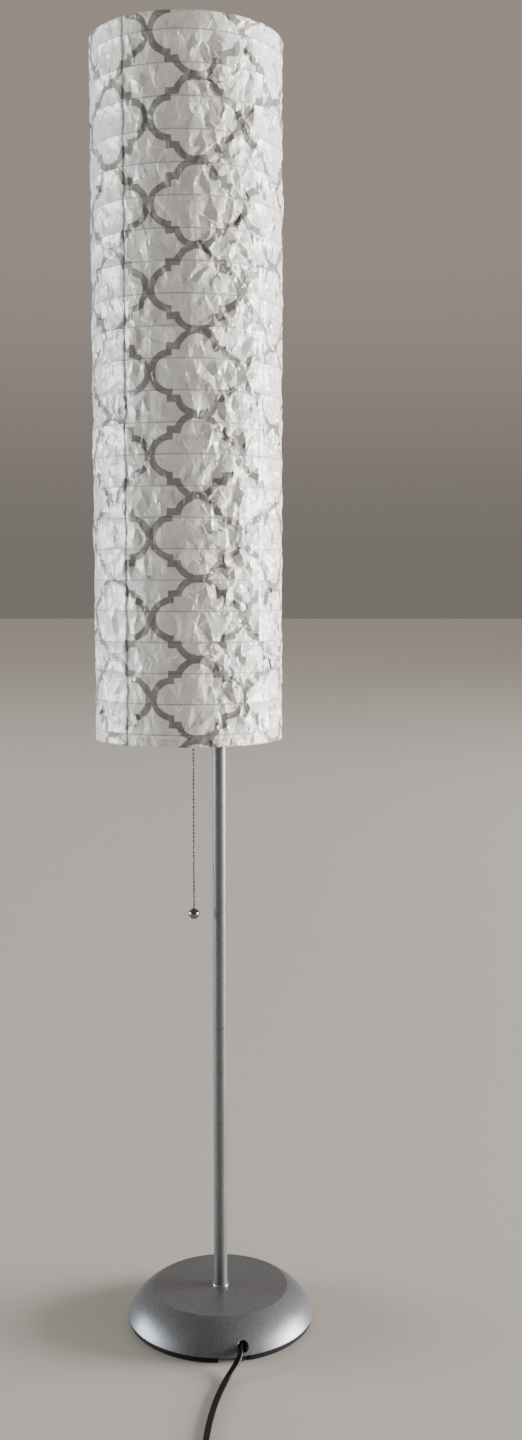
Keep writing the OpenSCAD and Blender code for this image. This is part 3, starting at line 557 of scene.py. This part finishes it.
# Mask of the printed band: four-lobed frames with a barb between two lobes
def makeTrellis(s):
    group, given, result = newGroup("trellis", ["across", "up"], ["mask"])

    def folded(value, pitch, stretch):
        cells = maths(group, "ADD", maths(group, "DIVIDE", value, pitch), 0.5)
        part = maths(group, "SUBTRACT", maths(group, "FRACT", cells), 0.5)
        return maths(group, "MULTIPLY", maths(group, "ABSOLUTE", part), pitch * stretch)

    def fromCentre(x, y):
        return maths(group, "SQRT", maths(group, "MULTIPLY_ADD", x, x, maths(group, "MULTIPLY", y, y)))

    u = folded(given["across"], s["cellWidth"], 1.0)
    v = folded(given["up"], s["cellHeight"], s["stretch"])
    side = fromCentre(maths(group, "SUBTRACT", u, s["lobeAcross"]), v)
    top = fromCentre(u, maths(group, "SUBTRACT", v, s["lobeUp"]))
    lobes = maths(group, "MINIMUM", side, top)

    def outline(radius, halfWidth, halfHeight):
        square = maths(group, "MAXIMUM", maths(group, "SUBTRACT", u, halfWidth),
                       maths(group, "SUBTRACT", v, halfHeight))
        return maths(group, "MINIMUM", maths(group, "SUBTRACT", lobes, radius), square)

    soft = s["edgeSoftness"]
    inner = outline(s["innerRadius"], s["innerHalfWidth"], s["innerHalfHeight"])
    outer = outline(s["outerRadius"], s["outerHalfWidth"], s["outerHalfHeight"])
    outsideInner = mapRange(group, inner, -soft, soft, 0.0, 1.0, "SMOOTHSTEP")
    insideOuter = mapRange(group, outer, -soft, soft, 1.0, 0.0, "SMOOTHSTEP")
    group.links.new(maths(group, "MULTIPLY", outsideInner, insideOuter), result["mask"])
    return group


# Thin darker lines of painted shadow, where a wire inside casts its shade through the paper
def makeRibShadowLines(s):
    group, given, result = newGroup("ribShadowLines", ["place", "halfWidth"], ["mask"])
    height = addNode(group, "ShaderNodeSeparateXYZ", None, {0: given["place"]}).outputs[2]
    held = heldHeights(s)
    pitches = maths(group, "DIVIDE", maths(group, "SUBTRACT", height, held[1]), held[2] - held[1])
    part = maths(group, "ABSOLUTE", maths(group, "SUBTRACT", pitches, maths(group, "ROUND", pitches)))
    away = maths(group, "MULTIPLY", part, held[2] - held[1])
    group.links.new(mapRange(group, away, given["halfWidth"], 0.0, 0.0, 1.0, "SMOOTHSTEP"), result["mask"])
    return group


def makePaperMaterial(s):
    material, tree, shader = newMaterial("shadePaper", (0.8, 0.8, 0.78), 0.3, Specular_IOR_Level=0.6)
    shader.inputs["Subsurface Weight"].default_value = 0.7
    shader.inputs["Subsurface Radius"].default_value = (1.0, 0.95, 0.88)
    shader.inputs["Subsurface Scale"].default_value = 0.4 * mm
    sheet = addNode(tree, "ShaderNodeAttribute", {"attribute_name": "print"}).outputs["Vector"]
    parts = addNode(tree, "ShaderNodeSeparateXYZ", None, {0: sheet})
    band = useGroup(tree, makeTrellis(s), across=parts.outputs[0], up=parts.outputs[1])
    tint = useGroup(tree, smudges, place=sheet, size=25.0, low=0.0, high=1.0)
    white = mixColours(tree, tint, *s["white"])
    grey = mixColours(tree, tint, *s["grey"])
    printed = mixColours(tree, band, white, grey)
    # painted shadows of the wires, uneven in strength
    ribShadow = useGroup(tree, makeRibShadowLines(shadeSettings), place=objectPlace(tree), halfWidth=s["ribShadowHalfWidth"])
    uneven = useGroup(tree, smudges, place=sheet, size=60.0, low=0.35, high=0.9)
    shown = mixColours(tree, maths(tree, "MULTIPLY", ribShadow, uneven), printed, s["ribShadowColour"])
    tree.links.new(shown, shader.inputs["Base Color"])
    gloss = useGroup(tree, smudges, place=sheet, size=90.0, low=0.18, high=0.34)
    feed(tree, shader.inputs["Roughness"], gloss)
    addBump(tree, shader, useGroup(tree, creases, place=sheet, size=70.0), 0.0005)
    return material


def makeShade(s):
    paper = makePaperMaterial(printSettings)
    for i in range(s["panels"]):
        panel = foldPanel(s, i)
        edges = [("topHem", "top_hem", box["top_hem"][0].z, s["top"] + mm),
                 ("bottomHem", "bottom_hem", s["bottom"] - mm, box["bottom_hem"][1].z)]
        for name, node, low, high in edges:
            strip = turnEdge(s, panel, low, high)
            hem = placeMesh(f"{name}{i + 1}", strip, paper, "stand", [node], s["sharpAngle"])
            addWall(hem, s["paper"])
        sheet = placeMesh(f"shadePanel{i + 1}", panel, paper, "stand",
                          ["shade_paper"], s["sharpAngle"])
        addWall(sheet, s["paper"])


makeShade(shadeSettings)
print("shade wrapped")


# Base, pole and the rest

# The colour of a finish, made lighter and darker by a grey value
def shaded(tree, colour, grey):
    scaled = addNode(tree, "ShaderNodeVectorMath", {"operation": "SCALE"}, {0: colour, "Scale": grey})
    return scaled.outputs[0]


def makeSilverPaint(colour):
    material, tree, shader = newMaterial("silverPaint", colour, 0.36, 0.6,
                                         Specular_Tint=(0.6, 0.61, 0.63, 1))
    place = objectPlace(tree)
    sparkle = useGroup(tree, flakes, place=place, size=1100.0, low=0.78, high=1.22)
    cloud = useGroup(tree, smudges, place=place, size=14.0, low=0.94, high=1.05)
    grey = maths(tree, "MULTIPLY", sparkle, cloud)
    tree.links.new(shaded(tree, colour, grey), shader.inputs["Base Color"])
    gloss = useGroup(tree, smudges, place=place, size=30.0, low=0.34, high=0.41)
    feed(tree, shader.inputs["Roughness"], gloss)
    addBump(tree, shader, sparkle, 0.00004)
    return material


def makeMetal(name, colour, low, high, grain=0.0):
    material, tree, shader = newMaterial(name, colour, low, 1.0)
    place = objectPlace(tree)
    gloss = useGroup(tree, smudges, place=place, size=120.0, low=low, high=high)
    feed(tree, shader.inputs["Roughness"], gloss)
    dull = useGroup(tree, smudges, place=place, size=60.0, low=0.9, high=1.04)
    tree.links.new(shaded(tree, colour, dull), shader.inputs["Base Color"])
    if grain:
        fine = addNode(tree, "ShaderNodeTexNoise", None, {"Vector": place, "Scale": 1500.0, "Detail": 2.0})
        addBump(tree, shader, fine.outputs[0], grain)
    return material


def makePlain(name, colour, low, high, size, grain, shine=0.5):
    material, tree, shader = newMaterial(name, colour, low, Specular_IOR_Level=shine)
    place = objectPlace(tree)
    gloss = useGroup(tree, smudges, place=place, size=40.0, low=low, high=high)
    feed(tree, shader.inputs["Roughness"], gloss)
    cloud = useGroup(tree, smudges, place=place, size=25.0, low=0.85, high=1.12)
    tree.links.new(shaded(tree, colour, cloud), shader.inputs["Base Color"])
    fine = addNode(tree, "ShaderNodeTexNoise", None, {"Vector": place, "Scale": size, "Detail": 3.0})
    addBump(tree, shader, fine.outputs[0], grain)
    return material


silverPaint = makeSilverPaint((0.182, 0.188, 0.198))
# for each material slot of the part
finishes = {
    "silver_paint": silverPaint,
    "felt": makePlain("felt", (0.02, 0.02, 0.02), 0.9, 1.0, 1800.0, 0.0004),
    "black_plastic": makePlain("blackPlastic", (0.006, 0.006, 0.0065), 0.5, 0.65, 1400.0, 0.00008, 0.2),
    "weight": makePlain("castWeight", (0.33, 0.32, 0.3), 0.85, 0.95, 500.0, 0.0006),
    "steel": makeMetal("zincSteel", (0.55, 0.55, 0.54), 0.32, 0.48, 0.00003),
    "bright_metal": makeMetal("brightMetal", (0.78, 0.78, 0.78), 0.12, 0.24),
    "chain_metal": makeMetal("chainMetal", (0.25, 0.23, 0.205), 0.12, 0.26),
    "brass": makeMetal("brass", (0.72, 0.55, 0.27), 0.22, 0.36),
    "liner": makePlain("cardLiner", (0.45, 0.33, 0.19), 0.8, 0.9, 900.0, 0.0002),
    "bulb_glass": makePlain("frostedGlass", (0.82, 0.82, 0.79), 0.3, 0.36, 1200.0, 0.00002),
    "rib_wire": makePlain("ribWire", (0.62, 0.6, 0.56), 0.5, 0.6, 900.0, 0.00002),
    "cord_jacket": bpy.data.materials["cordJacket"],
    "tie_plastic": makePlain("strapPlastic", (0.03, 0.03, 0.03), 0.45, 0.6, 700.0, 0.0001),
    "plug_plastic": makePlain("plugPlastic", (0.016, 0.016, 0.017), 0.38, 0.5, 1100.0, 0.00008),
}


def dressNodes():
    slots = {row["node"]: row["material_slot"] for row in frame["record"]["subparts"]}
    for name, node in frame["nodes"].items():
        if slots[name] in finishes:
            node.data.materials.clear()
            node.data.materials.append(finishes[slots[name]])


dressNodes()
frame["nodes"]["chain_ball"].data.materials[0] = makeMetal("ballMetal", (0.30, 0.245, 0.20), 0.1, 0.2)
print("finishes given")


# Cover of the base

coverSettings = {
    "radius": box["base_cover"][1].x,
    "top": box["base_cover"][1].z,
    "skirt": box["base_cover"][0].z,
    "flatRadius": 80 * mm,
    "edgeShare": 0.58,             # angle of the side at the flat top, as a share of its average
    "rimShare": 0.45,              # how far its angle at the rim goes from its average to upright
    "creaseRadius": 3 * mm,
    "rimRadius": 0.7 * mm,
    "rimLift": 0.8 * mm,
    "rimTuck": 0.6 * mm,
    "wall": 1.2 * mm,
    "poleHole": 5.1 * mm,
    "sideSteps": 28,
    "around": 192,
    "holeTurn": 15.5,              # degrees from the front
    "holeHeight": 17 * mm,
    "holeRadius": 5.8 * mm,
    "holeEdge": 0.6 * mm,
    "holeDepth": 0.35,             # of the tool that cuts it, as a share of the radius
    "toolLength": 20 * mm,         # outside the side
    "edgeToolLength": 3 * mm,
    "sharpAngle": 40,
}


# The side's curve from the flat top to the rim, as (radius, height) points
def coverSide(s):
    rim = s["skirt"] + s["rimLift"]
    wide, high = s["radius"] - s["flatRadius"], s["top"] - rim
    mean = math.atan2(high, wide)
    first, last = s["edgeShare"] * mean, mean + s["rimShare"] * (math.pi / 2 - mean)
    run = (high - wide * math.tan(last)) / (math.tan(first) - math.tan(last))
    start = Vector((s["flatRadius"], s["top"]))
    bend = start + Vector((run, -run * math.tan(first)))
    end = Vector((s["radius"], rim))
    steps = [k / s["sideSteps"] for k in range(s["sideSteps"] + 1)]
    return [(1 - t) ** 2 * start + 2 * t * (1 - t) * bend + t * t * end for t in steps]


# Half section of the pressed cover: flat top, side, turned-in rim
def coverOutline(s):
    side = [(*place, 0) for place in coverSide(s)]
    side[0] = (*side[0][:2], s["creaseRadius"])
    side[-1] = (*side[-1][:2], s["rimRadius"])
    outer = rounded([(s["poleHole"], s["top"], 0)] + side + [(s["radius"] - s["rimTuck"], s["skirt"], 0)])
    wide = s["radius"] - s["flatRadius"]
    inner = []
    for r, z in outer:
        down = min(1, max(0, (r - s["flatRadius"]) / wide * 2))
        inner.append((r - s["wall"] * down, max(z - s["wall"], s["skirt"])))
    inner[0] = (s["poleHole"], s["top"] - s["wall"])
    return outer + inner[::-1]


# Cuts a turned shape out of a piece; its outline is (radius, distance) along the way it points
def cutTurned(piece, outline, place, direction, squeeze=1.0):
    cutter = bmesh.new()
    points = [cutter.verts.new((r, 0, z)) for r, z in outline]
    edges = [cutter.edges.new(pair) for pair in zip(points, points[1:])]
    bmesh.ops.spin(cutter, geom=points + edges, cent=(0, 0, 0), axis=(0, 0, 1), angle=2 * math.pi, steps=48,
                   use_merge=True)
    bmesh.ops.remove_doubles(cutter, verts=cutter.verts, dist=1e-6)
    bmesh.ops.recalc_face_normals(cutter, faces=cutter.faces)
    bmesh.ops.scale(cutter, vec=(1, squeeze, 1), verts=cutter.verts)
    turn = direction.to_track_quat("Z", "Y").to_matrix().to_4x4()
    bmesh.ops.transform(cutter, matrix=Matrix.Translation(place) @ turn, verts=cutter.verts)
    mesh = bpy.data.meshes.new("cutter")
    cutter.to_mesh(mesh)
    cutter.free()
    tool = bpy.data.objects.new("cutter", mesh)
    bpy.context.scene.collection.objects.link(tool)
    cut = piece.modifiers.new("cut", "BOOLEAN")
    cut.object = tool
    cut.solver = "EXACT"
    graph = bpy.context.evaluated_depsgraph_get()
    piece.data = bpy.data.meshes.new_from_object(piece.evaluated_get(graph))
    piece.modifiers.clear()
    bpy.data.objects.remove(tool)


def makeCover(s):
    cover = placeMesh("baseCover", turned(coverOutline(s), s["around"]), silverPaint, "stand",
                      ["base_cover"], s["sharpAngle"])
    side = coverSide(s)
    nearest = min(range(1, len(side)), key=lambda i: abs(side[i].y - s["holeHeight"]))
    turn = math.radians(s["holeTurn"])
    outwards = Vector((math.sin(turn), -math.cos(turn), 0))
    place = outwards * side[nearest].x + Vector((0, 0, s["holeHeight"]))
    radius, edge, depth = s["holeRadius"], s["holeEdge"], s["radius"] * s["holeDepth"]
    far, out = s["toolLength"], s["edgeToolLength"]
    cutTurned(cover, [(0, -depth), (radius, -depth), (radius, far), (0, far)], place, outwards)
    # the hole's edge, rounded off square to the sloping side
    fall = (side[nearest] - side[nearest - 1]).normalized()
    square = outwards * -fall.y + Vector((0, 0, fall.x))
    edgeLine = [(0, -edge), (radius, -edge), (radius + edge * 0.35, -edge * 0.4), (radius + edge, 0),
                (radius + edge * 3, out), (0, out)]
    cutTurned(cover, edgeLine, place, square, 1 / -fall.y)
    return cover


makeCover(coverSettings)
print("base cover turned")


# Collar at the pole's foot

collarSettings = {
    "bead": 0.85 * mm,             # radius of the raised bead at the collar's edge
    "floor": 0.7 * mm,             # height between the bead and the pole
    "poleGap": 0.05 * mm,
    "footInset": 0.3 * mm,         # of the collar's foot from the bead's outside
    "beadFrom": -40,               # degrees, and the step to the next corner
    "beadStep": 17.5,
    "beadCorners": 13,
    "around": 96,
    "sharpAngle": 30,
}


# Thin bright collar with a rounded bead at its edge
def makeCollar(s):
    low, high = box["foot_collar"]
    pole = box["lower_pole"][1].x + s["poleGap"]
    middle = high.x - s["bead"]
    outline = [(pole, low.z), (high.x - s["footInset"], low.z)]
    for k in range(s["beadCorners"]):
        angle = math.radians(s["beadFrom"] + k * s["beadStep"])
        outline.append((middle + s["bead"] * math.cos(angle), low.z + s["bead"] * (1 + math.sin(angle))))
    outline += [(middle - s["bead"] * 0.9, low.z + s["floor"]), (pole, low.z + s["floor"])]
    placeMesh("collarRing", turned(outline, s["around"]), finishes["bright_metal"], "stand",
              ["foot_collar"], s["sharpAngle"])


makeCollar(collarSettings)
print("collar turned")


# Floor and light

roomSettings = {
    "floorColour": (0.56, 0.525, 0.48),
    "wallColour": (0.32, 0.276, 0.24),        # of the world behind the lamp
    "overhead": 2.3,                          # brightness of the world above the picture
    "roomColour": (0.095, 0.089, 0.079),      # and behind the camera
    "lowSkyAndFloorGlowColour": (0.185, 0.165, 0.148),      # low down, near the floor's far edge, and the colour of the floor's painted glow
    # strength of the floor's painted glow far off
    "floorGlow": 0.6,
    "floorGlowStart": 0.8,                         # metres from the lamp, where the floor's painted glow starts
    "floorGlowEnd": 6.0,
    "floorSize": 30,
    "lightDistance": 9.0,
    "aimHeight": 0.9,
    # name, degrees from the front, height, width, tallness, power, colour
    "lights": [
        ("leftLight", -98, 1.5, 5.6, 2.8, 1080, (0.92, 0.97, 1.0)),
        ("rightLight", 94, 1.5, 4.8, 2.8, 2720, (1.0, 0.985, 0.965)),
        ("rightFill", 66, 2.4, 3.6, 4.4, 130, (1.0, 0.95, 0.88)),
        ("leftFill", -68, 2.4, 4.8, 4.4, 100, (1.0, 0.97, 0.92)),
    ],
}


def makeWorld(s):
    world = bpy.data.worlds.new("world")
    world.use_nodes = True
    tree = world.node_tree
    direction = addNode(tree, "ShaderNodeTexCoord").outputs["Generated"]
    parts = addNode(tree, "ShaderNodeSeparateXYZ", None, {0: direction})
    behind = mapRange(tree, parts.outputs[1], 0.3, 0.9, 0.0, 1.0, "SMOOTHSTEP")
    above = mapRange(tree, parts.outputs[2], 0.0, 0.22, 0.0, 1.0, "SMOOTHSTEP")
    room = mixColours(tree, behind, s["roomColour"], s["wallColour"])
    background = tree.nodes["Background"]
    tree.links.new(mixColours(tree, above, s["lowSkyAndFloorGlowColour"], room), background.inputs[0])
    overhead = mapRange(tree, parts.outputs[2], 0.34, 0.55, 1.0, s["overhead"], "SMOOTHSTEP")
    tree.links.new(overhead, background.inputs[1])
    bpy.context.scene.world = world


# Plain floor with a painted glow that grows with distance, so it stays pale far off
def makeFloorMaterial(s):
    material, tree, shader = newMaterial("floor", s["floorColour"], 0.6)
    distance = addNode(tree, "ShaderNodeVectorMath", {"operation": "LENGTH"},
                       {0: objectPlace(tree)}).outputs["Value"]
    # painted glow: the floor gives off light, more the farther it is
    feed(tree, shader.inputs["Emission Color"], s["lowSkyAndFloorGlowColour"])
    farGlow = mapRange(tree, distance, s["floorGlowStart"], s["floorGlowEnd"], 0.0, s["floorGlow"], "SMOOTHSTEP")
    feed(tree, shader.inputs["Emission Strength"], farGlow)
    return material


def makeRoom(s):
    bm = bmesh.new()
    bmesh.ops.create_grid(bm, x_segments=1, y_segments=1, size=s["floorSize"])
    mesh = bpy.data.meshes.new("floor")
    bm.to_mesh(mesh)
    bm.free()
    floor = bpy.data.objects.new("floor", mesh)
    bpy.context.scene.collection.objects.link(floor)
    mesh.materials.append(makeFloorMaterial(s))
    makeWorld(s)
    middle = Vector((shadeSettings["centreX"], 0, s["aimHeight"]))
    for name, degrees, height, width, tallness, power, colour in s["lights"]:
        angle = math.radians(degrees)
        data = bpy.data.lights.new(name, "AREA")
        data.shape = "RECTANGLE"
        data.size, data.size_y = width, tallness
        data.energy = power
        data.color = colour
        light = bpy.data.objects.new(name, data)
        away = s["lightDistance"]
        light.location = (middle.x + away * math.sin(angle), -away * math.cos(angle), height)
        light.rotation_euler = (middle - light.location).to_track_quat("-Z", "Y").to_euler()
        bpy.context.scene.collection.objects.link(light)


makeRoom(roomSettings)
print("room lit")
